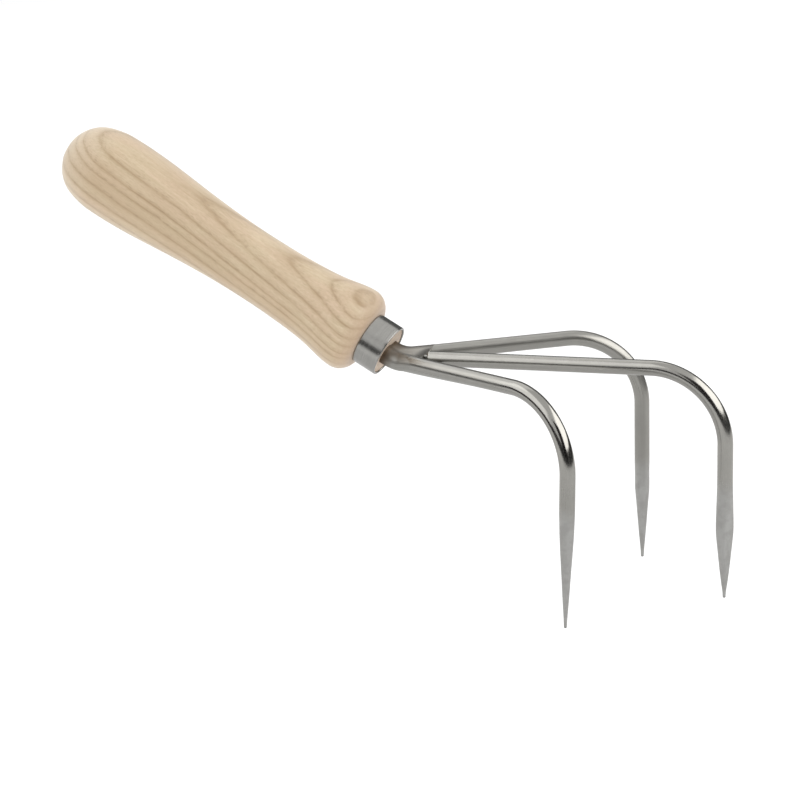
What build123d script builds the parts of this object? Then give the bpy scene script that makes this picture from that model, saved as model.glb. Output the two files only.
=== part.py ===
"""Three-tine hand rake: turned ash handle, steel ferrule, and a welded head of three bent steel rods.

Frame, in millimetres: the origin is on the handle's axis at its waist, where the hand closes round it.
+Z is up, +X is forward to the tines, +Y is the left side. The handle slopes down towards the head and
the tines drop almost straight down. Stations are distances along the handle's axis, + towards the head.
"""

from build123d import *
from math import cos, radians, sin, tan
import os

# Handle, turned about its axis
PITCH = 28.5                # slope of the handle's axis below the horizontal, degrees
BUTT_STATION = -100.8       # end of the rounded butt
BULGE_STATION = -75.2
BULGE_RADIUS = 17.4
WAIST_RADIUS = 13.7
FLARE_STATION = 38.6        # widest point in front of the hand
FLARE_RADIUS = 17.45
SHOULDER_ROUND = 7.0        # quarter round from the flare down to the ferrule

# Ferrule, a short steel tube pressed on the handle's spigot
FERRULE_RADIUS = 10.7
FERRULE_WALL = 0.9
FERRULE_LENGTH = 10.4
FERRULE_EDGE = 0.35         # rounding of the tube's ends
SPIGOT_RECESS = 0.5         # the end grain stands back from the ferrule's rim
BORE_RIM = 0.3

# Head
ROD = 6.0                   # diameter of all three rods
TWIN_SPACING = 6.1          # between the axes of the two outer rods where they lie side by side
TANG_LENGTH = 60.0          # how far the twin rods run into the handle
TANG_SLACK = 0.02           # radial, in the socket
NECK_CORNER = 4.5           # in front of the ferrule, where the outer rods turn away from the axis
NECK_BEND = 12.0
ROD_CHAMFER = 0.5

# Each tine: the side it splays to, its rise and run to the corner of the drop, and its drop.
# splay and rise are in degrees, lean_back tips the point towards the handle, lean_in to the middle.
# tip is a list of (height above the point, width across the tine, thickness fore and aft).
LEFT = {
    "splay": 24.5, "rise": 3.5, "run": 95.1, "bend": 27.8,
    "lean_back": 0.3, "lean_in": 0.6, "drop": 91.7,
    "tip": [(40.0, ROD, ROD), (30.0, 6.6, 5.8), (14.0, 4.2, 3.4), (0.0, 1.3, 1.1)],
}
RIGHT = {
    "splay": -25.8, "rise": 2.8, "run": 97.3, "bend": 27.5,
    "lean_back": 2.2, "lean_in": 0.4, "drop": 88.1,
    "tip": [(46.0, ROD, ROD), (32.0, 4.9, 4.8), (14.0, 2.8, 2.7), (0.0, 1.2, 1.1)],
}
CENTRE = {
    "splay": 0.0, "rise": 2.6, "run": 120.4, "bend": 27.8,
    "lean_back": 0.5, "lean_in": 0.0, "drop": 87.3,
    "tip": [(42.0, ROD, ROD), (28.0, 7.8, 5.7), (12.0, 4.6, 3.2), (0.0, 1.4, 1.0)],
}
CENTRE_START = 17.0         # in front of the ferrule's mouth, where the centre rod is cut square
CENTRE_HEIGHT = -1.4        # of that cut end, against the mouth's centre

# Weld metal: a web that fills the fork of the outer rods, and a fillet beside the centre rod's end
WEB_START = 0.6             # in front of the ferrule's mouth
WEB_HEIGHT = 4.6
FILLET_START = 0.2          # in front of the cut end
FILLET_REACH = 4.5
FILLET_HEIGHT = 3.4

MOUTH_STATION = FLARE_STATION + SHOULDER_ROUND + FERRULE_LENGTH
TOOL_AXIS = Axis((0, 0, 0), (cos(radians(PITCH)), 0, -sin(radians(PITCH))))
PROFILE_PLANE = Plane((0, 0, 0), x_dir=TOOL_AXIS.direction, z_dir=(0, -1, 0))

os.makedirs("parts", exist_ok=True)


def axis_point(station, across=0.0):
    """A point at a station of the handle's axis, moved sideways by across."""
    point = TOOL_AXIS.direction * station
    return Vector(point.X, across, point.Z)


def cross_plane(station):
    """The plane across the handle's axis at a station, with its x direction along +Y."""
    return Plane(axis_point(station), x_dir=(0, 1, 0), z_dir=TOOL_AXIS.direction)


def save(name, label):
    name.part.label = label
    export_step(name.part, f"parts/{label}.step")


MOUTH = axis_point(MOUTH_STATION)


def side_of(tine):
    """+1 for a tine on the left, -1 on the right, 0 in the middle."""
    return (tine["splay"] > 0) - (tine["splay"] < 0)


def run_direction(tine):
    """The direction of a tine's straight run, away from the handle."""
    splay, rise = radians(tine["splay"]), radians(tine["rise"])
    return Vector(cos(rise) * cos(splay), cos(rise) * sin(splay), sin(rise))


def drop_direction(tine):
    """The direction of a tine's drop, towards its point."""
    back, inward = tan(radians(tine["lean_back"])), tan(radians(tine["lean_in"]))
    return Vector(-back, -side_of(tine) * inward, -1.0)


def tine_solid(tine, lead, start):
    """A bent rod: the lead points, a straight run from start, a bend, and a drop with a forged point."""
    corner = start + run_direction(tine) * tine["run"]
    down = drop_direction(tine)
    point = corner + down * (corner.Z - MOUTH.Z + tine["drop"])
    up = down.normalized() * -1.0
    shank_end = point + up * tine["tip"][0][0]
    corners = [*lead, start, corner, shank_end]
    bends = [tine["bend"]] if not lead else [NECK_BEND, tine["bend"]]
    with BuildPart() as rod:
        with BuildLine() as path:
            FilletPolyline(*corners, radius=bends)
        with BuildSketch(Plane(corners[0], z_dir=path.wire() % 0)):
            Circle(ROD / 2)
        sweep(path=path.wire())
        if lead:
            chamfer(rod.faces().sort_by(Axis.X)[0].edges(), ROD_CHAMFER)
        forward = Vector(1, 0, 0).rotate(Axis.Z, tine["splay"])
        for height, width, thickness in tine["tip"]:
            with BuildSketch(Plane(point + up * height, x_dir=forward, z_dir=up)):
                Ellipse(thickness / 2, width / 2)
        loft()
    return rod


# The handle: one profile turned about the axis, with the socket for the twin rods
with BuildPart() as handle:
    shoulder = FLARE_STATION + SHOULDER_ROUND
    spigot_end = MOUTH_STATION - SPIGOT_RECESS
    spigot_radius = FERRULE_RADIUS - FERRULE_WALL
    with BuildSketch(PROFILE_PLANE):
        with BuildLine():
            dome = Spline(
                (BUTT_STATION, 0), (-97.0, 10.9), (-92.2, 14.7), (-85.0, 16.85),
                (BULGE_STATION, BULGE_RADIUS),
                tangents=((0, 1), (1, 0)),
            )
            grip = Spline(
                dome @ 1, (-41.5, 15.2), (0, WAIST_RADIUS), (14.5, 14.3), (26.5, 15.6),
                (FLARE_STATION, FLARE_RADIUS),
                tangents=((1, 0), (1, 0)),
            )
            turn = RadiusArc(
                grip @ 1, (shoulder, FLARE_RADIUS - SHOULDER_ROUND), SHOULDER_ROUND
            )
            Polyline(
                turn @ 1, (shoulder, spigot_radius), (spigot_end, spigot_radius),
                (spigot_end, 0), (BUTT_STATION, 0),
            )
        make_face()
    revolve(axis=TOOL_AXIS)
    with BuildSketch(cross_plane(MOUTH_STATION)):
        SlotCenterToCenter(TWIN_SPACING, ROD + 2 * TANG_SLACK)
    extrude(amount=-(TANG_LENGTH + BORE_RIM), mode=Mode.SUBTRACT)

# The ferrule: a tube with rounded ends
with BuildPart() as ferrule:
    with BuildSketch(PROFILE_PLANE):
        with Locations((MOUTH_STATION - FERRULE_LENGTH / 2, FERRULE_RADIUS - FERRULE_WALL / 2)):
            Rectangle(FERRULE_LENGTH, FERRULE_WALL)
        fillet(vertices().sort_by(Axis.X)[-2:], FERRULE_EDGE)
    revolve(axis=TOOL_AXIS)

# The tines: the outer two share the tang, and the centre one is butted between them
tines = {}
for label, tine in (("left_tine", LEFT), ("right_tine", RIGHT)):
    beside = side_of(tine) * TWIN_SPACING / 2
    tang = axis_point(MOUTH_STATION - TANG_LENGTH, beside)
    turn_off = axis_point(MOUTH_STATION + NECK_CORNER, beside)
    tines[label] = tine_solid(tine, [tang], turn_off)
cut_end = MOUTH + Vector(CENTRE_START, 0, CENTRE_HEIGHT)
tines["centre_tine"] = tine_solid(CENTRE, [], cut_end)


def rod_line(tine, x):
    """A point on an outer rod's axis in plan, at x."""
    beyond = max(0.0, x - turn_off.X)
    return (x, side_of(tine) * TWIN_SPACING / 2 + beyond * tan(radians(tine["splay"])))


def fork_space(start_x, end_x):
    """The tall space of the fork between two stations in x, from rod axis to rod axis, less the rods."""
    stops = [x for x in (start_x, turn_off.X, end_x) if start_x <= x <= end_x]
    outline = [rod_line(LEFT, x) for x in stops] + [rod_line(RIGHT, x) for x in reversed(stops)]
    with BuildPart() as space:
        with BuildSketch(Plane.XY.offset(2 * MOUTH.Z)):
            with BuildLine():
                Polyline(*outline, close=True)
            make_face()
        extrude(amount=-2 * MOUTH.Z)
        for rod in tines.values():
            add(rod.part, mode=Mode.SUBTRACT)
    return space.part


# The neck weld: a web between the outer rods, from the ferrule to the centre rod's cut end
with BuildPart() as neck_weld:
    web_start = axis_point(MOUTH_STATION + WEB_START)
    with BuildLine() as crest:
        FilletPolyline(
            web_start, axis_point(MOUTH_STATION + NECK_CORNER), cut_end, radius=NECK_BEND
        )
    with BuildSketch(Plane(web_start, x_dir=(0, 1, 0), z_dir=TOOL_AXIS.direction)):
        Rectangle(4 * ROD, WEB_HEIGHT)
    sweep(path=crest.wire())
    add(fork_space(MOUTH.X - ROD, cut_end.X), mode=Mode.INTERSECT)

# The centre weld: a fillet on each side of the centre rod, from just past its cut end
with BuildPart() as centre_weld:
    fillet_start = cut_end + Vector(FILLET_START, 0, 0)
    with BuildSketch(Plane(fillet_start, x_dir=(0, 1, 0), z_dir=(1, 0, 0))):
        Rectangle(4 * ROD, FILLET_HEIGHT)
    extrude(amount=FILLET_REACH)
    add(fork_space(fillet_start.X, fillet_start.X + FILLET_REACH), mode=Mode.INTERSECT)

for label, rod in tines.items():
    save(rod, label)
save(neck_weld, "neck_weld")
save(centre_weld, "centre_weld")
save(handle, "handle")
save(ferrule, "ferrule")
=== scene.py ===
"""The looks of the three-tine hand rake: a turned ash handle, a brushed ferrule and a welded steel head.

Lengths are in millimetres until a mesh is made, which is in metres; the stage, its lights and the camera
are in metres throughout. The frame is the CAD's: the origin is on the handle's axis at its waist, +X is
forward, +Y is left and +Z is up.
"""

import math

import bmesh
import bpy
import numpy as np
from mathutils import Matrix, Vector, noise


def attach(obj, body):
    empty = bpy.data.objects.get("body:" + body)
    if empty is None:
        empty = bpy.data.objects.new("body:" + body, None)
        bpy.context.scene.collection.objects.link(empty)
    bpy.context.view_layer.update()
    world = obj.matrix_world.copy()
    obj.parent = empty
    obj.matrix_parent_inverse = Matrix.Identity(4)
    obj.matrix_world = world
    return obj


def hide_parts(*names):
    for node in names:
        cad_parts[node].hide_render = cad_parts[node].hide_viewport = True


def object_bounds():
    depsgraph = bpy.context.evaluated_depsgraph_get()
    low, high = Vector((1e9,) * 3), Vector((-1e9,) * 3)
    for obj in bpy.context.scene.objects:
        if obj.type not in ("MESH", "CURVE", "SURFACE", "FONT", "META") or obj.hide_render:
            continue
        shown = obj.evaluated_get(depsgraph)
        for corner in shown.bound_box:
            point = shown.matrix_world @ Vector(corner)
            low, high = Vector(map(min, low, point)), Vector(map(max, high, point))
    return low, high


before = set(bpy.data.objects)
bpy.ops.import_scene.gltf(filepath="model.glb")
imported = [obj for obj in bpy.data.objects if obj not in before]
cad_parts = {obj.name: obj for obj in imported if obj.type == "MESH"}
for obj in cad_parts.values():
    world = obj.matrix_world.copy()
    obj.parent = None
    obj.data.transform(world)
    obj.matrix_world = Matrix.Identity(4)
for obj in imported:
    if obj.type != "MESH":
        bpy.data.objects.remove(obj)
cad_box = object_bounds()

MM = 0.001
BODY = "root"

# ---------------------------------------------------------------- sizes, as in the CAD
PITCH = math.radians(28.5)
AXIS = np.array([math.cos(PITCH), 0.0, -math.sin(PITCH)])   # along the handle, towards the head
LEFTWARD = np.array([0.0, 1.0, 0.0])
UPWARD = np.cross(AXIS, LEFTWARD)                            # square to the handle's axis, upwards
CROWN = 0.47 * LEFTWARD + 0.88 * UPWARD                      # towards the neck's upper side, darkened with painted shade
BUTT, SHOULDER, END_GRAIN = -100.8, 45.6, 55.5               # stations of the wood along the axis
MOUTH_STATION = 56.0                                         # the ferrule's front end
MOUTH = AXIS * MOUTH_STATION
SPIGOT_RADIUS = 9.8
FERRULE_OUTER, FERRULE_INNER, FERRULE_LENGTH, FERRULE_EDGE = 10.7, 9.8, 10.4, 0.35
ROD = 3.0                                                    # radius of all three rods
TWIN_OFFSET = 3.05                                           # of each outer rod from the axis, in the tang
TANG_LENGTH = 60.0                                           # from the rods' hidden ends to the mouth
NECK_CORNER, NECK_BEND = 4.5, 12.0                           # where the outer rods part, and how tightly
CENTRE_START, CENTRE_HEIGHT = 17.0, -1.4                     # the centre rod's cut end, from the mouth
NECK_SWELL, NECK_LIP = 1.3, 0.5                              # weld metal below and above the rods there

# Each tine: splay, rise, leans and turn of its point in degrees; run, bend radius, drop, height where
# forging starts and depth of weld metal dressed along its underside in millimetres; and the forged point
# as (height above the tip, radius of the round, half width, half thickness).
TINES = {
    "left_tine": {
        "splay": 24.5, "rise": 3.5, "run": 95.1, "bend": 27.8,
        "lean_back": 0.3, "lean_in": 0.6, "drop": 91.7, "forged_from": 42.0, "turn": 0.0, "dressed": 0.3,
        "point": [
            (46.0, 3.0, 3.6, 3.6), (36.0, 3.05, 3.3, 3.0), (30.0, 3.15, 3.3, 2.9),
            (27.0, 2.95, 3.1, 2.68), (21.0, 2.45, 2.6, 2.2), (10.0, 1.5, 1.6, 1.33),
            (3.0, 0.85, 0.9, 0.72), (0.0, 0.62, 0.65, 0.58),
        ],
    },
    "right_tine": {
        "splay": -25.8, "rise": 2.8, "run": 97.3, "bend": 27.5,
        "lean_back": 2.2, "lean_in": 0.4, "drop": 88.1, "forged_from": 48.0, "turn": 0.0, "dressed": 0.9,
        "point": [
            (50.0, 3.0, 3.6, 3.6), (45.0, 2.92, 3.4, 3.3), (39.0, 2.76, 3.0, 2.9),
            (33.0, 2.48, 2.6, 2.6), (21.0, 1.78, 1.9, 1.85), (10.0, 1.13, 1.25, 1.2),
            (3.0, 0.68, 0.75, 0.7), (0.0, 0.55, 0.6, 0.55),
        ],
    },
    "centre_tine": {
        "splay": 0.0, "rise": 2.6, "run": 120.4, "bend": 27.8,
        "lean_back": 0.5, "lean_in": 0.0, "drop": 87.3, "forged_from": 47.0, "turn": -25.0, "dressed": 0.0,
        "point": [
            (48.0, 3.0, 3.6, 3.3), (43.0, 3.08, 3.4, 2.85), (36.0, 3.3, 3.3, 2.55),
            (28.0, 3.5, 3.25, 2.35), (21.0, 2.9, 2.7, 1.95), (15.0, 2.25, 2.15, 1.6),
            (10.0, 1.7, 1.65, 1.25), (6.0, 1.2, 1.2, 0.95), (2.5, 0.7, 0.68, 0.55), (0.0, 0.55, 0.5, 0.45),
        ],
    },
}


# How finely things are cut round: turned pieces, rods, the neck and the stage.
LATHE_SIDES, ROD_SIDES, NECK_SIDES, STAGE_SIDES = 192, 72, 288, 96


# ---------------------------------------------------------------- curves and meshes
def smooth_curve(knots, x):
    """A curve through the knots (x, y, ...) that is smooth and doesn't overshoot, read at x."""
    knots = np.array(sorted(knots), float)
    gap = np.diff(knots[:, 0])[:, None]
    slope = np.diff(knots[:, 1:], axis=0) / gap
    same_way = slope[:-1] * slope[1:] > 0
    total = np.where(same_way, slope[:-1] + slope[1:], 1.0)
    inner = np.where(same_way, 2 * slope[:-1] * slope[1:] / total, 0.0)
    tangent = np.vstack([slope[:1], inner, slope[-1:]])
    x = np.clip(np.atleast_1d(x), knots[0, 0], knots[-1, 0])
    i = np.clip(np.searchsorted(knots[:, 0], x, side="right") - 1, 0, len(gap) - 1)
    t = ((x - knots[i, 0]) / gap[i, 0])[:, None]
    a, b, width = knots[i, 1:], knots[i + 1, 1:], gap[i]
    return (
        (1 + 2 * t) * (1 - t) ** 2 * a + t * t * (3 - 2 * t) * b
        + width * (t * (1 - t) ** 2 * tangent[i] - t * t * (1 - t) * tangent[i + 1])
    )


def smoothstep(low, high, x):
    t = np.clip((np.asarray(x, float) - low) / (high - low), 0, 1)
    return t * t * (3 - 2 * t)


def unit(v):
    v = np.asarray(v, float)
    return v / np.linalg.norm(v)


def full_circle(count):
    return np.linspace(0, 2 * math.pi, count, endpoint=False)


def filleted_path(corners, radii, step, arc_step):
    """Points and directions along straight runs joined by tangent arcs."""
    points, ways = [], []
    start = corners[0]
    for before, corner, after, radius in zip(corners, corners[1:], corners[2:], radii):
        into, out = unit(corner - before), unit(after - corner)
        turn = math.acos(np.clip(into @ out, -1, 1))
        back = radius * math.tan(turn / 2)
        arc_start = corner - into * back
        length = np.linalg.norm(arc_start - start)
        count = max(2, int(length / step))
        for t in np.arange(count) / count:
            points.append(start + (arc_start - start) * t)
            ways.append(into)
        inward = unit(out - into * (into @ out))
        count = max(6, int(radius * turn / arc_step))
        for angle in turn * np.arange(count) / count:
            points.append(arc_start + radius * (into * math.sin(angle) + inward * (1 - math.cos(angle))))
            ways.append(into * math.cos(angle) + inward * math.sin(angle))
        start = corner + out * back
    length = np.linalg.norm(corners[-1] - start)
    into = unit(corners[-1] - start)
    count = max(2, int(length / arc_step))
    for t in np.arange(count + 1) / count:
        points.append(start + (corners[-1] - start) * t)
        ways.append(into)
    return np.array(points), np.array(ways)


def mesh_object(name, vertices, faces, floats=(), vectors=()):
    """A smooth-shaded object from points in millimetres, with named attributes on its points."""
    mesh = bpy.data.meshes.new(name)
    mesh.from_pydata((np.asarray(vertices) * MM).tolist(), [], faces)
    mesh.validate()
    for label, values in floats:
        layer = mesh.attributes.new(label, "FLOAT", "POINT")
        layer.data.foreach_set("value", np.asarray(values, np.float32).ravel())
    for label, values in vectors:
        layer = mesh.attributes.new(label, "FLOAT_VECTOR", "POINT")
        layer.data.foreach_set("vector", np.asarray(values, np.float32).ravel())
    mesh.polygons.foreach_set("use_smooth", [True] * len(mesh.polygons))
    piece = bpy.data.objects.new(name, mesh)
    bpy.context.scene.collection.objects.link(piece)
    return piece


def tube_faces(rings, around, closed):
    """Quads between consecutive rings. closed joins the last ring to the first."""
    faces = []
    for i in range(rings if closed else rings - 1):
        j = (i + 1) % rings
        for k in range(around):
            n = (k + 1) % around
            faces.append((i * around + k, i * around + n, j * around + n, j * around + k))
    return faces


def with_poles(rings, start, end):
    """Vertices and faces of a tube closed by a pole at each end."""
    count, around = len(rings), len(rings[0])
    vertices = np.vstack([np.concatenate(rings), [start], [end]])
    faces = tube_faces(count, around, closed=False)
    last = (count - 1) * around
    for k in range(around):
        n = (k + 1) % around
        faces.append((count * around, n, k))
        faces.append((count * around + 1, last + k, last + n))
    return vertices, faces


def ripple(points, size, seed):
    """Smooth noise from -1 to 1 at each point, with bumps about size millimetres across."""
    return np.array([noise.noise(Vector(p) / size + Vector((seed, -seed, seed))) for p in points])


# ---------------------------------------------------------------- handle
def lathe_rings(profile, wobble=0.0):
    """Rings about the handle's axis for a profile of (station, radius)."""
    angles = full_circle(LATHE_SIDES)
    outward = np.outer(np.cos(angles), LEFTWARD) + np.outer(np.sin(angles), UPWARD)
    rings = []
    for station, radius in profile:
        ring = AXIS * station + outward * radius
        if wobble:
            ring = ring + outward * (wobble * ripple(ring, 9.0, 3.1))[:, None]
        rings.append(ring)
    return rings


SLIMMEST, BUTT_ROUNDS_FROM, RING_STEP = 9.0, -93.0, 0.8


def turned_profile():
    """The handle's outside as (station, radius), from the butt to the shoulder, read from the CAD node.

    The squares of the radii are what is smoothed, because they stay smooth where the butt rounds off.
    """
    corners = np.array([v.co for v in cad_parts["handle"].data.vertices]) / MM
    station = corners @ AXIS
    radius = np.linalg.norm(corners - np.outer(station, AXIS), axis=1)
    outside = {}
    for s, r in zip(np.round(station, 1), radius):
        if s < SHOULDER + 0.05:
            outside[s] = max(outside.get(s, 0.0), r)

    # A station where only the socket has corners is left out. The rounded butt is kept to its pole.
    squares = [(s, r * r) for s, r in outside.items() if r > SLIMMEST or s < BUTT_ROUNDS_FROM]

    # Stations for the rings: closer towards the butt's pole and round the shoulder.
    near_butt = BUTT + 8.0 * np.linspace(0.02, 1, 24) ** 2
    along = np.arange(near_butt[-1] + RING_STEP, SHOULDER - 7.5, RING_STEP)
    turn = SHOULDER - 7.0 * np.linspace(1, 0.0, 22)
    stations = np.concatenate([near_butt, along, turn])
    return [(s, math.sqrt(max(r2, 0.01))) for s, r2 in zip(stations, smooth_curve(squares, stations)[:, 0])]


def make_handle():
    """The turned outside, the shoulder's flat and the spigot, closed by the end grain in the ferrule."""
    profile = turned_profile()
    profile += [(SHOULDER, r) for r in (10.3, 10.05)]
    profile += [(s, SPIGOT_RADIUS - 0.03) for s in (SHOULDER + 0.05, 48.0, 52.0, END_GRAIN - 0.25)]
    profile += [(END_GRAIN - 0.06, SPIGOT_RADIUS - 0.09), (END_GRAIN, SPIGOT_RADIUS - 0.3)]
    profile += [(END_GRAIN, float(r)) for r in range(9, 0, -1)]
    rings = lathe_rings(profile, wobble=0.03)
    vertices, faces = with_poles(rings, AXIS * BUTT, AXIS * END_GRAIN)

    # How squarely the front end is cut across the grain, from 0 to 1.
    stations, radii = np.array(profile).T
    steep = np.abs(np.gradient(radii, np.maximum.accumulate(stations) + np.arange(len(stations)) * 1e-6))
    cut = np.where(stations > 30.0, steep / np.sqrt(1 + steep * steep), 0.0)
    end_grain = np.concatenate([np.repeat(cut, LATHE_SIDES), [0.0, 1.0]])
    return mesh_object("handle_ash", vertices, faces, floats=[("end_grain", end_grain)])


# ---------------------------------------------------------------- ferrule
def make_ferrule():
    """A tube with rounded rims, closed on itself."""
    back, front = MOUTH_STATION - FERRULE_LENGTH, MOUTH_STATION
    edge = FERRULE_EDGE
    quarter = np.linspace(0, math.pi / 2, 6)
    profile = []
    for s, r, ds, dr in (
        (back + edge, FERRULE_OUTER - edge, -1, 1), (front - edge, FERRULE_OUTER - edge, 1, 1),
        (front - edge, FERRULE_INNER + edge, 1, -1), (back + edge, FERRULE_INNER + edge, -1, -1),
    ):
        turn = quarter if ds * dr < 0 else quarter[::-1]
        profile += [(s + ds * edge * math.cos(a), r + dr * edge * math.sin(a)) for a in turn]
        if (ds, dr) == (-1, 1):
            profile += [(x, FERRULE_OUTER) for x in np.arange(back + 1.0, front - 0.9, RING_STEP)]
    rings = lathe_rings(profile)
    faces = tube_faces(len(rings), LATHE_SIDES, closed=True)
    return mesh_object("ferrule_tube", np.concatenate(rings), faces)


# ---------------------------------------------------------------- tines
def side_of(tine):
    """1 for the left tine, -1 for the right one and 0 for the centre one."""
    return (tine["splay"] > 0) - (tine["splay"] < 0)


def tine_corners(tine):
    """The corners of a tine's centre line, from its hidden end to its point."""
    splay, rise = math.radians(tine["splay"]), math.radians(tine["rise"])
    way = np.array([math.cos(rise) * math.cos(splay), math.cos(rise) * math.sin(splay), math.sin(rise)])
    side = side_of(tine)
    if side:
        beside = LEFTWARD * side * TWIN_OFFSET
        lead = [AXIS * (MOUTH_STATION - TANG_LENGTH) + beside]
        start = AXIS * (MOUTH_STATION + NECK_CORNER) + beside
    else:
        lead, start = [], MOUTH + np.array([CENTRE_START, 0, CENTRE_HEIGHT])
    corner = start + way * tine["run"]
    down = np.array([
        -math.tan(math.radians(tine["lean_back"])), -side * math.tan(math.radians(tine["lean_in"])), -1.0
    ])
    point = corner + down * (corner[2] - MOUTH[2] + tine["drop"])
    return lead + [start, corner, point]


def tine_path(tine):
    """Points and directions along a tine's centre line."""
    radii = [NECK_BEND, tine["bend"]] if side_of(tine) else [tine["bend"]]
    return filleted_path(tine_corners(tine), radii, step=1.0, arc_step=0.45)


def distance_along(points):
    """How far each point is along the line through all of them."""
    return np.concatenate([[0], np.cumsum(np.linalg.norm(np.diff(points, axis=0), axis=1))])


TIP_CAP = 0.45            # height of the rounding at the very tip
SQUARENESS = 16           # of a forged section, as the power of a superellipse
DENTS = ((0.035, 4.5, 1.7), (0.02, 1.6, 5.2))                      # depth, size and seed of hammer marks
DRESSING_SWELLS, DRESSING_FADES = (0, 6), (10, 62)                 # from the ferrule's mouth


def make_tine(name, tine):
    """A drawn rod bent to the tine's line, with its end forged and ground to a point."""
    points, ways = tine_path(tine)
    run = distance_along(points)
    height = run[-1] - run
    splay = math.radians(tine["splay"])
    across = np.array([-math.sin(splay), math.cos(splay), 0.0])
    angles = full_circle(ROD_SIDES)
    forged = 1 - smoothstep(tine["forged_from"] - 6, tine["forged_from"] + 3, height)

    # Where the rod is bent, from 0 to 1, blurred over 15 mm.
    curved = np.linalg.norm(np.gradient(ways, run, axis=0), axis=1) * tine["bend"]
    curved = np.where(height < tine["run"] + 60, np.clip(curved, 0, 1), 0)
    each_mm = np.arange(0, run[-1])
    bent = np.convolve(np.interp(each_mm, run, curved), np.ones(15) / 15, mode="same")
    bent = np.interp(run, each_mm, bent)
    limits = smooth_curve(tine["point"], height)
    turn = math.radians(tine["turn"])

    # Weld metal dressed along the underside of the outer rods, from the neck to about half way out.
    station = run - TANG_LENGTH
    dressed = tine["dressed"] * smoothstep(*DRESSING_SWELLS, station)
    dressed = dressed * (1 - smoothstep(*DRESSING_FADES, station))
    rings, straight, forging, bending = [], [], [], []

    def add_ring(centre, way, above, shrink, work=0.0, limit=None, curve=0.0, build=0.0):
        """A ring at a height above the tip: round where work is 0, and forged to the limit where it is 1."""
        side = unit(across - way * (across @ way))
        front = np.cross(side, way)
        if work:
            shares = (np.ones(ROD_SIDES), np.cos(angles - turn), np.sin(angles - turn))
            section = sum((np.abs(share) / bound) ** SQUARENESS for bound, share in zip(limit, shares))
            radius = ROD * (1 - work) + section ** (-1 / SQUARENESS) * work
        else:
            radius = np.full(ROD_SIDES, ROD)
        radius = radius * shrink
        ring = centre + np.outer(radius * np.cos(angles), side) + np.outer(radius * np.sin(angles), front)
        if build:
            ring[:, 2] -= build * np.clip((centre - ring)[:, 2] / ROD, 0, 1)
        if work:
            dents = sum(depth * ripple(ring, size, seed) for depth, size, seed in DENTS)
            ring = ring + (ring - centre) * (dents * work * shrink / ROD)[:, None]
        rings.append(ring)
        straight.extend(zip(radius * np.cos(angles), radius * np.sin(angles), np.full(ROD_SIDES, above)))
        forging.extend([work] * ROD_SIDES)
        bending.extend([curve] * ROD_SIDES)

    # The chamfered back end, the rod and its point, and the rounded tip.
    chamfer = 0.5 if side_of(tine) else 0.3
    for depth, shrink in ((0.0, 1 - chamfer / ROD - 0.03), (0.02, 1 - chamfer / ROD)):
        add_ring(points[0] + ways[0] * depth, ways[0], height[0] - depth, shrink)
    add_ring(points[0] + ways[0] * (chamfer - 0.02), ways[0], height[0] - chamfer, 1 - 0.02 / ROD)
    for i in range(1, len(points)):
        if height[i] > TIP_CAP:
            add_ring(points[i], ways[i], height[i], 1.0, float(forged[i]), limits[i], bent[i], dressed[i])
    for angle in np.radians(np.linspace(0, 80, 6)):
        above = TIP_CAP * (1 - math.sin(angle))
        add_ring(points[-1] - ways[-1] * above, ways[-1], above, math.cos(angle), 1.0, limits[-1])
    vertices, faces = with_poles(rings, points[0], points[-1])
    straight += [(0, 0, height[0]), (0, 0, 0)]
    forging += [0.0, 1.0]
    bending += [0.0, 0.0]
    floats = [("forged", forging), ("bent", bending)]
    return mesh_object(name, vertices, faces, floats, [("straight", straight)])


# ---------------------------------------------------------------- welds
OUTER_BEND = 27.8         # near enough to both outer bends, which are far from the neck
LINE_STEP = 0.25


def neck_lines():
    """The left and right rods' centre lines, each as (distance from its hidden end, points)."""
    lines = []
    for name in ("left_tine", "right_tine"):
        points, _ = filleted_path(tine_corners(TINES[name]), [NECK_BEND, OUTER_BEND], LINE_STEP, LINE_STEP)
        lines.append((distance_along(points), points))
    return lines


def on_line(line, at):
    """The point of a line at a distance along it."""
    run, points = line
    return np.stack([np.interp(at, run, points[:, i]) for i in range(3)], axis=-1)


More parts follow.
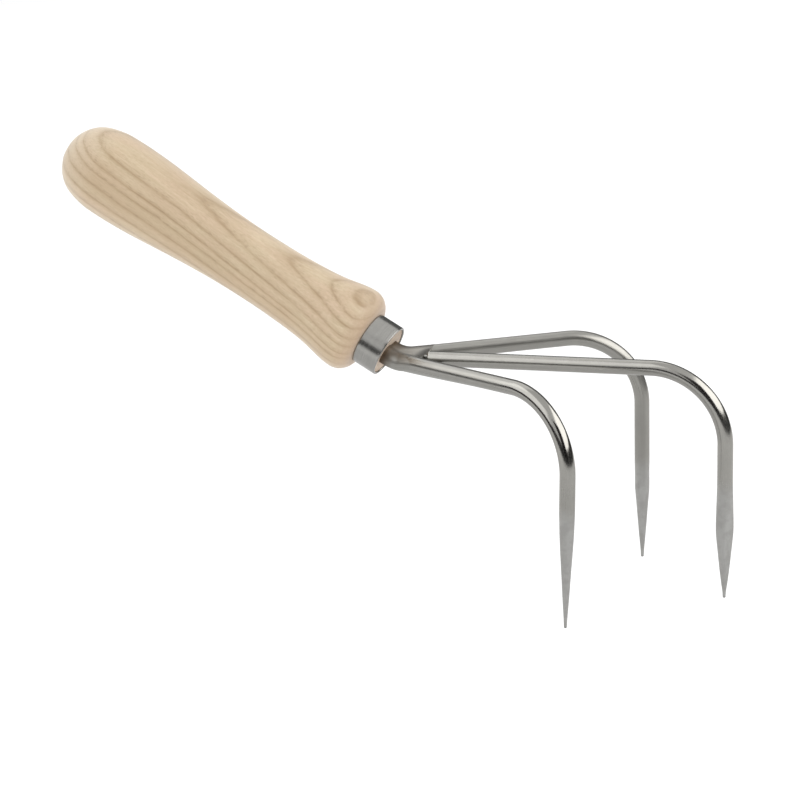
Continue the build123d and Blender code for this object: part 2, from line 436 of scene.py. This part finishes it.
def make_neck_weld():
    """The fork of the outer rods filled with weld metal up to the centre rod's end, and ground into one
    neck that swells a little round the rods near the ferrule, mostly below them.

    Each ring is the outline of the two swollen rods and the slab between them, softly joined. It is
    found by stepping outwards from the middle to the last place that is inside.
    """
    left, right = neck_lines()
    back, reach = 0.8, 17.3
    angles = full_circle(NECK_SIDES)
    rows = np.arange(NECK_SIDES)
    step, softness, overlap = 0.05, 2.2, 0.04
    steps = np.arange(0, 19.0, step)
    rings, painted_top_shade, web = [], [], []
    for station in np.linspace(-back, reach, 76):
        run = TANG_LENGTH + station
        a, b = on_line(left, run), on_line(right, run)
        ahead_a, ahead_b = unit(on_line(left, run + 0.3) - a), unit(on_line(right, run + 0.3) - b)
        middle, lateral = (a + b) / 2, unit(a - b)
        normal = unit(np.cross(ahead_a + ahead_b, lateral))
        half = np.linalg.norm(a - b) / 2
        y, z = np.outer(np.cos(angles), steps), np.outer(np.sin(angles), steps)
        swell = NECK_SWELL * (1 - smoothstep(3.0, reach, station)) - overlap
        lip = NECK_LIP * (1 - smoothstep(0.0, 10.0, station)) - overlap
        slab = 2.75 - 0.4 * smoothstep(3, 16, station) + lip * 0.6
        distances = []
        for centre, ahead in ((half, ahead_a), (-half, ahead_b)):
            lean = abs(float(ahead @ unit(np.cross(lateral, normal))))
            drop = swell / 2 - lip / 2
            radius = ROD + (swell + lip) / 2
            distances.append(np.hypot((y - centre) * lean, z + drop) - radius)
        distances.append(np.maximum(np.abs(z) - slab, np.abs(y) - half))
        union = -np.log(sum(np.exp(-softness * d) for d in distances)) / softness
        inside = union < 0
        last = inside.shape[1] - 1 - np.argmax(inside[:, ::-1], axis=1)
        last = np.clip(last, 0, len(steps) - 2)
        here, there = union[rows, last], union[rows, last + 1]
        outward = np.where(inside.any(axis=1), steps[last] + step * here / (here - there - 1e-9), 0.3)
        aside = outward * np.cos(angles)
        rings.append(middle + np.outer(aside, lateral) + np.outer(outward * np.sin(angles), normal))

        # The masks: how much painted shade darkens the neck's upper side and the crevices by the centre
        # rod's end, and how much of the paler web lies between the rods.
        height = rings[-1] @ CROWN
        between = 1 - smoothstep(0.45, 1.05, np.abs(aside) / half)
        top_edge_shade = 1 - smoothstep(0.0, 2.8, height.max() - height)
        painted_top_shade.append(np.maximum(top_edge_shade, 0.8 * between * smoothstep(12.5, reach, station)))
        web.append(between * (1 - smoothstep(11.0, reach, station)))
    vertices, faces = with_poles(rings, rings[0].mean(axis=0), rings[-1].mean(axis=0))
    masks = {"painted_top_shade": painted_top_shade, "web": web}
    masks = [(label, np.append(np.concatenate(mask), [0, 0])) for label, mask in masks.items()]
    return mesh_object("neck_weld_web", vertices, faces, masks)


def remeshed(name, lumps, voxel):
    """One closed skin round overlapping lumps, each (centre, three half sizes, spin in radians)."""
    bm = bmesh.new()
    for centre, half, spin in lumps:
        place = Matrix.Translation(Vector(centre) * MM) @ Matrix.Rotation(spin, 4, "Z")
        place = place @ Matrix.Diagonal(Vector([h * MM for h in half] + [1.0]))
        bmesh.ops.create_icosphere(bm, subdivisions=4, radius=1.0, matrix=place)
    mesh = bpy.data.meshes.new(name)
    bm.to_mesh(mesh)
    bm.free()
    piece = bpy.data.objects.new(name, mesh)
    bpy.context.scene.collection.objects.link(piece)
    skin = piece.modifiers.new("skin", "REMESH")
    skin.mode, skin.voxel_size = "VOXEL", voxel * MM
    relax = piece.modifiers.new("relax", "SMOOTH")
    relax.factor, relax.iterations = 0.5, 3
    evaluated = piece.evaluated_get(bpy.context.evaluated_depsgraph_get())
    final = bpy.data.meshes.new_from_object(evaluated)
    piece.modifiers.clear()
    piece.data = final
    final.polygons.foreach_set("use_smooth", [True] * len(final.polygons))
    return piece


BEADS_AHEAD = (-0.3, 0.7, 1.7, 2.7, 3.7, 4.6)     # of the centre rod's cut end, on each side
TACKS = (                                          # place from that end, half sizes and spin
    ((-0.35, 2.15, 1.75), (0.75, 0.85, 0.55), 0.4),
    ((-0.55, -2.2, 1.55), (0.7, 0.8, 0.55), -0.5),
    ((0.2, 3.3, 1.15), (0.8, 0.6, 0.5), 0.2),
)
FORK_ANGLE = math.radians(25)


def make_centre_weld():
    """Beads in the two crevices beside the centre rod's end, with tacks at its upper corners."""
    end = MOUTH + np.array([CENTRE_START, 0, CENTRE_HEIGHT])
    lumps = []
    for (_, points), side in zip(neck_lines(), (1, -1)):
        for i, ahead in enumerate(BEADS_AHEAD):
            centre = end + np.array([ahead, 0, 0])
            outer = points[np.argmin(np.abs(points[:, 0] - centre[0]))]
            gap = abs(outer[1] - centre[1])
            wander, sink = 0.12 * math.sin(5 * i + side), -0.9 - 0.08 * i
            middle = side * (gap - ROD / math.cos(FORK_ANGLE) + ROD) / 2
            half = (0.95, (gap - 2 * ROD) / 2 + 1.0, 1.35 - 0.04 * i)
            lumps.append((centre + np.array([wander, middle, sink]), half, -side * 0.25))
    lumps += [(end + np.array(place), half, spin) for place, half, spin in TACKS]
    return remeshed("centre_weld_beads", lumps, voxel=0.14)


# ---------------------------------------------------------------- materials
class Shader:
    """A material's node tree, with short calls that add a node and give its output.

    Inputs are sockets or constants.
    """

    def __init__(self, name):
        self.material = bpy.data.materials.new(name)
        self.material.use_nodes = True
        self.tree = self.material.node_tree
        self.surface = self.tree.nodes["Principled BSDF"]

    def node(self, kind, inputs=None, **settings):
        made = self.tree.nodes.new("ShaderNode" + kind)
        for key, value in settings.items():
            setattr(made, key, value)
        for key, value in (inputs or {}).items():
            self.put(made.inputs[key], value)
        return made

    def put(self, socket, value):
        if isinstance(value, bpy.types.NodeSocket):
            self.tree.links.new(value, socket)
        else:
            socket.default_value = value

    def math(self, operation, *values):
        return self.node("Math", dict(enumerate(values)), operation=operation).outputs[0]

    def attribute(self, name, output):
        return self.node("Attribute", attribute_name=name).outputs[output]

    def place(self):
        """The place in the frame, in millimetres."""
        metres = self.node("TexCoord").outputs["Object"]
        return self.node("VectorMath", {0: metres, "Scale": 1 / MM}, operation="SCALE").outputs[0]

    def dot(self, vector, way):
        inputs = {0: vector, 1: tuple(float(x) for x in way)}
        return self.node("VectorMath", inputs, operation="DOT_PRODUCT").outputs["Value"]

    def vector(self, x, y, z):
        return self.node("CombineXYZ", {"X": x, "Y": y, "Z": z}).outputs[0]

    def noise(self, vector, scale, detail=2.0, roughness=0.5):
        inputs = {"Vector": vector, "Scale": scale, "Detail": detail, "Roughness": roughness}
        return self.node("TexNoise", inputs).outputs[0]

    def around_middle(self, noise, spread):
        """A noise moved to swing about zero, by half of spread each way."""
        return self.math("MULTIPLY", self.math("SUBTRACT", noise, 0.5), spread)

    def ramp(self, factor, stops, easing="LINEAR"):
        made = self.node("ValToRGB", {"Fac": factor})
        made.color_ramp.interpolation = easing
        elements = made.color_ramp.elements
        while len(elements) < len(stops):
            elements.new(0.5)
        for element, (position, tone) in zip(elements, stops):
            element.position = position
            element.color = (tone, tone, tone, 1)
        return made.outputs[0]

    def mix(self, factor, a, b):
        made = self.node("Mix", data_type="RGBA")
        self.put(made.inputs["Factor"], factor)
        for socket, value in zip([s for s in made.inputs if s.type == "RGBA"], (a, b)):
            self.put(socket, tuple(value) + (1,) if isinstance(value, tuple) else value)
        return [s for s in made.outputs if s.type == "RGBA"][0]

    def range(self, value, low, high, to_low=0.0, to_high=1.0):
        made = self.node("MapRange", {
            "Value": value, "From Min": low, "From Max": high, "To Min": to_low, "To Max": to_high
        })
        return made.outputs[0]

    def bump(self, height, distance, strength=1.0, normal=None):
        made = self.node("Bump", {"Height": height, "Distance": distance, "Strength": strength})
        if normal is not None:
            self.put(made.inputs["Normal"], normal)
        return made.outputs[0]


# The board the handle was turned from: the growth rings are flat layers, tilted a little to the axis.
RING_SIDE = math.radians(47.9)
TOWARDS_VIEW = np.array([0.2175, -0.8901, 0.4005])
TOWARDS_TOP = np.array([0.4247, 0.4557, 0.7823])
RING_NORMAL = TOWARDS_VIEW * math.cos(RING_SIDE) + TOWARDS_TOP * math.sin(RING_SIDE)
RING_ACROSS = np.cross(AXIS, RING_NORMAL)
RINGS = [-26.0, -21.8, -17.5, -13.1, -8.0, -2.9, 1.4, 4.0, 7.75, 11.2, 14.9, 17.75, 20.5, 28.0]
WAVE_LENGTH = 95.0        # of the rings' slow wave along the handle
PALE_BUTT = 22.0          # how far the butt's paler end reaches

# Colours, here and below, are linear.
WOOD_CREAM = (0.680, 0.560, 0.390)
WOOD_PINK = (0.680, 0.525, 0.375)
WOOD_PALE = (0.735, 0.640, 0.500)
WOOD_HEART = (0.500, 0.370, 0.225)
WOOD_FIBRE = (0.500, 0.375, 0.235)
WOOD_LINE = (0.362, 0.246, 0.132)
WOOD_PORE = (0.340, 0.240, 0.145)
# How brown the wood is at a depth through the rings.
HEART_TONES = [(-26, 0.4), (-13, 0.3), (-8, 0.7), (-1.5, 1.0), (3.5, 0.7), (8, 0.25), (14, 0.1), (28, 0.0)]
# End grain.
END_LIGHT = (0.540, 0.390, 0.265)
END_DARK = (0.390, 0.265, 0.170)


def ash_wood():
    s = Shader("ash_wood_turned")
    place = s.place()
    along = s.dot(place, AXIS)
    across = s.dot(place, RING_ACROSS)
    layer = s.dot(place, RING_NORMAL)

    def stretched(stretch, to=layer):
        """The place in the board, stretched along the handle."""
        return s.vector(s.math("MULTIPLY", along, stretch), across, to)

    # Depth through the rings: a steady tilt, one slow wave along the handle, and smaller wanderings.
    tilt = s.math("MULTIPLY", s.math("ADD", along, 7.4), 0.1)
    wave = s.math("COSINE", s.math("MULTIPLY", s.math("ADD", along, 7.0), 2 * math.pi / WAVE_LENGTH))
    wave = s.math("MULTIPLY_ADD", wave, 0.45, -0.45)
    slow_place = s.vector(s.math("MULTIPLY", along, 0.035), s.math("MULTIPLY", across, 0.12), layer)
    slow = s.noise(slow_place, 1.0, 1.0)
    quick = s.noise(stretched(0.3), 0.5, 3.0, 0.6)
    depth = s.math("ADD", s.math("ADD", layer, tilt), wave)
    depth = s.math("ADD", depth, s.around_middle(slow, 0.5))
    depth = s.math("ADD", depth, s.around_middle(quick, 0.62))

    # Years counted through the depth, and the season in each year from 0 to 1.
    low, high, count = RINGS[0], RINGS[-1], len(RINGS) - 1
    share = s.range(depth, low, high)
    years = s.ramp(share, [((ring - low) / (high - low), i / count) for i, ring in enumerate(RINGS)])
    season = s.math("FRACT", s.math("MULTIPLY", years, float(count)))

    # Grain: the dark line where the year turns, its shadow, fibres, pores, patches and a browner heart.
    line = s.ramp(season, [
        (0.0, 0.92), (0.04, 0.78), (0.10, 0.46), (0.20, 0.26), (0.38, 0.10),
        (0.6, 0.05), (0.78, 0.18), (0.88, 0.38), (0.95, 0.68), (1.0, 0.92),
    ])
    strength = s.noise(stretched(0.12), 0.4, 3.0)
    line = s.math("MULTIPLY", line, s.range(strength, 0.3, 0.7, 0.5, 1.0))
    butt = s.range(along, BUTT, BUTT + PALE_BUTT, 1.0, 0.0)
    line = s.math("MULTIPLY", line, s.math("MULTIPLY_ADD", butt, -0.5, 1.0))
    fibre = s.noise(stretched(0.07, depth), 0.95, 5.0, 0.68)
    pore = s.noise(stretched(0.14, depth), 2.7, 2.0, 0.6)
    early = s.ramp(season, [(0.0, 1.0), (0.12, 0.85), (0.3, 0.45), (0.6, 0.3), (0.9, 0.45), (1.0, 0.9)])
    pores = s.math("MULTIPLY", s.range(pore, 0.52, 0.64), early)
    speck = s.noise(stretched(0.45), 1.5, 2.0, 0.6)
    patch = s.noise(stretched(0.3), 0.17, 2.0)
    heart = s.ramp(share, [((d - low) / (high - low), tone) for d, tone in HEART_TONES], "EASE")

    colour = s.mix(s.range(patch, 0.36, 0.64), WOOD_PINK, WOOD_CREAM)
    colour = s.mix(s.math("MULTIPLY", heart, 0.55), colour, WOOD_HEART)
    colour = s.mix(s.range(fibre, 0.34, 0.66, 0.0, 0.5), colour, WOOD_FIBRE)
    colour = s.mix(s.range(speck, 0.38, 0.62, 0.24, 0.0), colour, WOOD_FIBRE)
    colour = s.mix(s.math("MULTIPLY", butt, 0.5), colour, WOOD_PALE)
    colour = s.mix(s.math("MULTIPLY", line, 0.95), colour, WOOD_LINE)
    colour = s.mix(s.math("MULTIPLY", pores, 0.6), colour, WOOD_PORE)

    # End grain soaks up more finish: darker and pinker, with the pores as dots.
    cut = s.attribute("end_grain", "Fac")
    dots = s.noise(stretched(0.1), 2.6, 3.0, 0.7)
    end_colour = s.mix(s.range(dots, 0.4, 0.65, 0.0, 0.6), END_LIGHT, END_DARK)
    colour = s.mix(s.range(cut, 0.1, 1.0, 0.0, 0.85), colour, end_colour)
    s.put(s.surface.inputs["Base Color"], colour)

    # A thin dull finish, with the relief of the grain under it.
    s.put(s.surface.inputs["Roughness"], s.range(fibre, 0.3, 0.7, 0.5, 0.62))
    s.put(s.surface.inputs["Specular IOR Level"], 0.4)
    s.put(s.surface.inputs["Sheen Weight"], 0.5)
    s.put(s.surface.inputs["Sheen Roughness"], 0.4)
    relief = s.math("SUBTRACT", s.math("MULTIPLY", fibre, 0.5), s.math("MULTIPLY", pores, 0.8))
    relief = s.math("SUBTRACT", relief, s.math("MULTIPLY", line, 0.3))
    s.put(s.surface.inputs["Normal"], s.bump(relief, 0.00006, 0.6))
    return s.material


STEEL = (0.338, 0.332, 0.314)
ROD_STEEL = (0.314, 0.307, 0.286)
GROUND_STEEL = (0.430, 0.412, 0.378)
POINT_DULL, POINT_BRIGHT = (0.352, 0.348, 0.335), (0.402, 0.399, 0.386)
# A near-black for painted shade, in the crevices and along the neck's upper side.
PAINTED_SHADE = (0.060, 0.052, 0.044)
# The brown of the handle's wood, painted on the steel near the ferrule as its reflection.
PAINTED_WOOD_REFLECTION = (0.120, 0.085, 0.055)
FERRULE_ROUGHNESS, BEAD_ROUGHNESS, GROUND_ROUGHNESS, POINT_ROUGHNESS = 0.24, 0.36, 0.42, 0.36
TINE_ROUGHNESS = {         # along the run and in the bend
    "left_tine": (0.38, 0.30), "right_tine": (0.30, 0.15), "centre_tine": (0.24, 0.18),
}
BRUSHING = 0.03            # the scale of scratches along the brushing, against that across it
BLOTCH_SCALE = 260.0       # per metre


def steel(name, base, roughness, brushed):
    """Satin stainless steel. brushed(shader) gives the place that the fine scratches are stretched in.

    What comes back is the shader with the colour, roughness, scratches and blotches still to be used.
    """
    s = Shader(name)
    place = brushed(s)
    scratch = s.noise(place, 9.0, 3.0, 0.7)
    streak = s.noise(place, 2.0, 3.0, 0.6)
    blotch = s.noise(s.node("TexCoord").outputs["Object"], BLOTCH_SCALE, 3.0, 0.55)
    tone = s.range(s.math("MULTIPLY_ADD", streak, 0.6, s.math("MULTIPLY", blotch, 0.4)), 0.35, 0.65)
    colour = s.mix(tone, tuple(c * 0.93 for c in base), tuple(min(1.0, c * 1.05) for c in base))
    s.put(s.surface.inputs["Metallic"], 1.0)
    rough = s.range(streak, 0.3, 0.7, roughness * 0.85, roughness * 1.15)
    return s, colour, rough, scratch, blotch


def tine_steel(name, run_roughness, bend_roughness):
    """Drawn rod, brushed lengthwise, smoother in its bend and duller and mottled where it is forged."""

    def lengthwise(s):
        straight = s.attribute("straight", "Vector")
        return s.node("VectorMath", {0: straight, 1: (1.0, 1.0, BRUSHING)}, operation="MULTIPLY").outputs[0]

    s, colour, rough, scratch, blotch = steel(name, ROD_STEEL, run_roughness, lengthwise)
    forged = s.attribute("forged", "Fac")
    ground = s.mix(s.range(blotch, 0.4, 0.6), POINT_DULL, POINT_BRIGHT)
    s.put(s.surface.inputs["Base Color"], s.mix(forged, colour, ground))
    rough = s.math("MULTIPLY_ADD", forged, POINT_ROUGHNESS - run_roughness, rough)
    rough = s.math("MULTIPLY_ADD", s.attribute("bent", "Fac"), bend_roughness - run_roughness, rough)
    s.put(s.surface.inputs["Roughness"], rough)
    relief = s.bump(scratch, 0.000012, 0.5)
    s.put(s.surface.inputs["Normal"], s.bump(blotch, 0.00002, 0.35, relief))
    return s.material


def ferrule_steel():
    """Turned tube, brushed round its axis."""

    def round_the_tube(s):
        place = s.place()
        leftward, upward = (s.math("MULTIPLY", s.dot(place, way), BRUSHING) for way in (LEFTWARD, UPWARD))
        return s.vector(s.dot(place, AXIS), leftward, upward)

    s, colour, rough, scratch, _ = steel("ferrule_steel_brushed", STEEL, FERRULE_ROUGHNESS, round_the_tube)
    s.put(s.surface.inputs["Base Color"], colour)
    s.put(s.surface.inputs["Roughness"], rough)
    s.put(s.surface.inputs["Normal"], s.bump(scratch, 0.00001, 0.4))
    return s.material


def weld_steel(name, lumpy):
    """Weld metal, either left in lumpy beads or ground, with a painted brown reflection of the handle's wood
    near the ferrule and painted shade in its crevices.
    """
    base, roughness = (STEEL, BEAD_ROUGHNESS) if lumpy else (ROD_STEEL, GROUND_ROUGHNESS)
    s, colour, rough, _, blotch = steel(name, base, roughness, Shader.place)
    place = s.place()
    along = s.dot(place, AXIS)
    if lumpy:
        # Painted shade in the crevices below the beads: the lower a point lies, the darker it is.
        height = s.math("SUBTRACT", s.dot(place, (0.0, 0.0, 1.0)), float(MOUTH[2] + CENTRE_HEIGHT))
        colour = s.mix(s.range(height, -0.5, 0.9, 0.92, 0.0), colour, PAINTED_SHADE)
    else:
        # The web between the rods is ground coarser and paler; painted shade darkens the far rod's upper
        # side and the crevices by the centre rod's end.
        web = s.attribute("web", "Fac")
        colour = s.mix(web, colour, GROUND_STEEL)
        rough = s.math("MULTIPLY_ADD", web, 0.18, rough)
        colour = s.mix(s.math("MULTIPLY", s.attribute("painted_top_shade", "Fac"), 0.85), colour, PAINTED_SHADE)
    # Painted reflection: a brown tint of the handle's wood near the ferrule's mouth, with blotchy edges,
    # where the steel is also rougher.
    wood_reflection = s.math("MULTIPLY_ADD", s.math("SUBTRACT", blotch, 0.5), 3.0, along)
    wood_reflection = s.range(wood_reflection, MOUTH_STATION + 0.5, MOUTH_STATION + 5.0, 0.9, 0.0)
    s.put(s.surface.inputs["Base Color"], s.mix(wood_reflection, colour, PAINTED_WOOD_REFLECTION))
    s.put(s.surface.inputs["Roughness"], s.math("MULTIPLY_ADD", wood_reflection, 0.15, rough))
    s.put(s.surface.inputs["Normal"], s.bump(blotch, 0.00005, 0.5 if lumpy else 0.25))
    return s.material


# ---------------------------------------------------------------- pieces
def place_piece(piece, material, node):
    """Gives a piece its material and its place in the frame, and trims its ripples to the CAD box."""
    points = np.empty(3 * len(piece.data.vertices))
    piece.data.vertices.foreach_get("co", points)
    trimmed = np.clip(points.reshape(-1, 3), *np.array([list(corner) for corner in cad_box]))
    piece.data.vertices.foreach_set("co", trimmed.ravel())
    piece.data.materials.clear()
    piece.data.materials.append(material)
    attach(piece, BODY)
    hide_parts(node)


place_piece(make_handle(), ash_wood(), "handle")
place_piece(make_ferrule(), ferrule_steel(), "ferrule")
satin = {label: tine_steel("tine_steel_" + label, *pair) for label, pair in TINE_ROUGHNESS.items()}
for label, shape in TINES.items():
    place_piece(make_tine(label + "_rod", shape), satin[label], label)
place_piece(make_neck_weld(), weld_steel("weld_steel_ground", False), "neck_weld")
place_piece(make_centre_weld(), weld_steel("weld_steel_bead", True), "centre_weld")


# ---------------------------------------------------------------- camera
# The camera's azimuth is turned from -Y towards +X.
CAMERA_AZIMUTH, CAMERA_ELEVATION, CAMERA_ROLL = (math.radians(a) for a in (24.2, 18.13, -2.43))
CAMERA_DISTANCE = 1.0005
CAMERA_TARGET = Vector((0.0566, -0.0081, -0.0436))
CAMERA_LENS, CAMERA_SENSOR = 114.8, 36.0


def make_camera():
    back = Vector((
        math.sin(CAMERA_AZIMUTH) * math.cos(CAMERA_ELEVATION),
        -math.cos(CAMERA_AZIMUTH) * math.cos(CAMERA_ELEVATION),
        math.sin(CAMERA_ELEVATION),
    ))
    level = Vector((math.cos(CAMERA_AZIMUTH), math.sin(CAMERA_AZIMUTH), 0))
    up = back.cross(level)
    right = level * math.cos(CAMERA_ROLL) + up * math.sin(CAMERA_ROLL)
    top = up * math.cos(CAMERA_ROLL) - level * math.sin(CAMERA_ROLL)
    data = bpy.data.cameras.new("camera")
    data.lens, data.sensor_width, data.sensor_fit = CAMERA_LENS, CAMERA_SENSOR, "AUTO"
    data.clip_start, data.clip_end = 0.05, 60.0
    camera = bpy.data.objects.new("camera", data)
    bpy.context.scene.collection.objects.link(camera)
    turn = Matrix((right, top, back)).transposed()
    camera.matrix_world = Matrix.Translation(CAMERA_TARGET + back * CAMERA_DISTANCE) @ turn.to_4x4()
    bpy.context.scene.camera = camera


make_camera()


# ---------------------------------------------------------------- stage and light
FLOOR_Z = -0.42
FLOOR_RADII = (0.2, 0.6, 1.5, 3.0, 5.0, 7.0)
BACKDROP_PROFILE = (       # radius and height above the floor
    (3.4, 0.004), (5.0, 0.03), (7.3, 0.1), (7.7, 0.2), (7.9, 0.6),
    (7.95, 2.0), (7.0, 5.0), (4.0, 7.5), (0.5, 8.2),
)
SKIRTING_RADIUS, SKIRTING_TOP = 3.0, 0.72
TABLETOPS = (              # name, radius, height above the floor and glow
    ("tabletop_far", SKIRTING_RADIUS, 0.01, 1.12), ("tabletop_near", 0.8, 0.02, 0.90),
)
STAGE_MIDDLE = Vector((0.05, 0.0, 0.0))
FILL_DISTANCE, GLINT_DISTANCE = 3.9, 3.8
WINDOW_COLOUR = (1.0, 0.99, 0.97)


def plain_material(name, albedo, glow):
    s = Shader(name)
    s.put(s.surface.inputs["Base Color"], (albedo, albedo, albedo, 1))
    s.put(s.surface.inputs["Roughness"], 0.9)
    s.put(s.surface.inputs["Specular IOR Level"], 0.0)
    s.put(s.surface.inputs["Emission Color"], (1, 1, 1, 1))
    s.put(s.surface.inputs["Emission Strength"], glow)
    return s.material


def level_ring(radius, z):
    """A ring of points, in metres, at a height in the frame."""
    angles = full_circle(STAGE_SIDES)
    return np.stack([radius * np.cos(angles), radius * np.sin(angles), 0 * angles + z], 1)


def make_floor():
    rings = [level_ring(radius, FLOOR_Z) for radius in FLOOR_RADII]
    vertices = np.concatenate(rings + [[[0, 0, FLOOR_Z]]]) / MM
    faces = tube_faces(len(rings), STAGE_SIDES, closed=False)
    faces += [(len(rings) * STAGE_SIDES, (k + 1) % STAGE_SIDES, k) for k in range(STAGE_SIDES)]
    floor = mesh_object("floor", vertices, faces)
    floor.data.materials.append(plain_material("floor_white", 0.9, 0.12))
    return floor


def make_backdrop():
    """The floor swept up into a round wall and over. Only the camera sees it."""
    rings = [level_ring(radius, z + FLOOR_Z) for radius, z in BACKDROP_PROFILE]
    faces = tube_faces(len(rings), STAGE_SIDES, closed=False)
    backdrop = mesh_object("backdrop", np.concatenate(rings) / MM, faces)
    backdrop.data.materials.append(plain_material("backdrop_white", 0.0, 1.0))
    for sight in ("visible_diffuse", "visible_glossy", "visible_transmission", "visible_shadow"):
        setattr(backdrop, sight, False)
    return backdrop


def span(distance, degrees):
    """How wide a thing is that spans an angle at a distance."""
    return 2 * distance * math.tan(math.radians(degrees / 2))


def face_middle(thing, azimuth, elevation, distance):
    """Puts a thing at a direction and distance from the object, with its -Z side facing it.

    The azimuth, turned from +X towards +Y, and the elevation are in degrees.
    """
    a, e = math.radians(azimuth), math.radians(elevation)
    away = Vector((math.cos(a) * math.cos(e), math.sin(a) * math.cos(e), math.sin(e)))
    thing.location = STAGE_MIDDLE + away * distance
    thing.rotation_mode = "QUATERNION"
    thing.rotation_quaternion = away.to_track_quat("Z", "Y")


def make_softbox(name, azimuth, elevation, width, height, fill, glint, colour=(1, 1, 1)):
    """A rectangular light that spans width by height degrees as the object sees it.

    Matt surfaces are lit at the level fill, and reflections see it at the level glint, each by a light
    of its own. A level of 0 makes no light.
    """
    for suffix, level, unseen, distance in (
        ("_fill", fill, "visible_glossy", FILL_DISTANCE),
        ("_glint", glint, "visible_diffuse", GLINT_DISTANCE),
    ):
        if not level:
            continue
        data = bpy.data.lights.new(name + suffix, "AREA")
        data.shape = "RECTANGLE"
        data.size, data.size_y = span(distance, width), span(distance, height)
        data.energy = level * math.pi * data.size * data.size_y
        data.color = colour
        light = bpy.data.objects.new(name + suffix, data)
        bpy.context.scene.collection.objects.link(light)
        face_middle(light, azimuth, elevation, distance)
        light.visible_camera = False
        setattr(light, unseen, False)


def only_reflected(thing):
    """Hides a thing from everything but glossy rays."""
    for sight in ("visible_camera", "visible_diffuse", "visible_transmission", "visible_shadow"):
        setattr(thing, sight, False)
    return thing


def make_card(name, azimuth, elevation, width, height, glow, distance):
    """A flag that only reflections see, which darkens the steel where a studio is dark."""
    across, up = span(distance, width) / 2 / MM, span(distance, height) / 2 / MM
    corners = [(-across, -up, 0), (across, -up, 0), (across, up, 0), (-across, up, 0)]
    card = mesh_object(name, corners, [(0, 1, 2, 3)])
    card.data.materials.append(plain_material(name + "_black", 0.0, glow))
    face_middle(card, azimuth, elevation, distance)
    only_reflected(card)


def make_skirting():
    """The dark far side of the room, all round between the floor and the lights. Only reflections see it,
    as the dark line along the rods."""
    rings = [level_ring(SKIRTING_RADIUS, z) for z in (FLOOR_Z, SKIRTING_TOP)]
    band = mesh_object("skirting", np.concatenate(rings) / MM, tube_faces(2, STAGE_SIDES, closed=False))
    band.data.materials.append(plain_material("skirting_dark", 0.0, 0.06))
    return only_reflected(band)


def make_tabletop():
    """What the undersides of the steel reflect: a floor that is greyer near the object's foot, as painted
    shade standing for the object's shadow.
    """
    pieces = []
    for name, radius, height, glow in TABLETOPS:
        top = mesh_object(name, level_ring(radius, FLOOR_Z + height) / MM, [tuple(range(STAGE_SIDES))])
        top.data.materials.append(plain_material(name + "_grey", 0.0, glow))
        pieces.append(only_reflected(top))
    return pieces


make_floor()
make_backdrop()
make_skirting()
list(make_tabletop())
make_softbox("window_light", 17, 37, 72, 44, fill=1.1, glint=0, colour=WINDOW_COLOUR)
make_softbox("window_seen", 4, 36, 92, 46, fill=0, glint=2.1, colour=WINDOW_COLOUR)
make_softbox("strip_light_left", 150, 42, 70, 56, fill=0.4, glint=0.5)
make_softbox("strip_light_back", -148, 38, 66, 56, fill=0.4, glint=0.95)
make_card("camera_flag", -57, 17, 34, 50, glow=0.02, distance=0.8)
make_card("right_flag", 90, 22, 60, 30, glow=0.16, distance=2.2)

# An even white room, a little brighter to reflections than to matt surfaces.
ROOM_TO_MATT, ROOM_TO_GLOSS = 0.85, 1.0
world = bpy.data.worlds.new("studio")
world.use_nodes = True
world_tree = world.node_tree
background = world_tree.nodes["Background"]
background.inputs["Color"].default_value = (1, 1, 1, 1)
ray = world_tree.nodes.new("ShaderNodeLightPath")
strength = world_tree.nodes.new("ShaderNodeMapRange")
strength.inputs["To Min"].default_value = ROOM_TO_MATT
strength.inputs["To Max"].default_value = ROOM_TO_GLOSS
world_tree.links.new(ray.outputs["Is Glossy Ray"], strength.inputs["Value"])
world_tree.links.new(strength.outputs["Result"], background.inputs["Strength"])
bpy.context.scene.world = world
bpy.context.scene.view_settings.view_transform = "Standard"
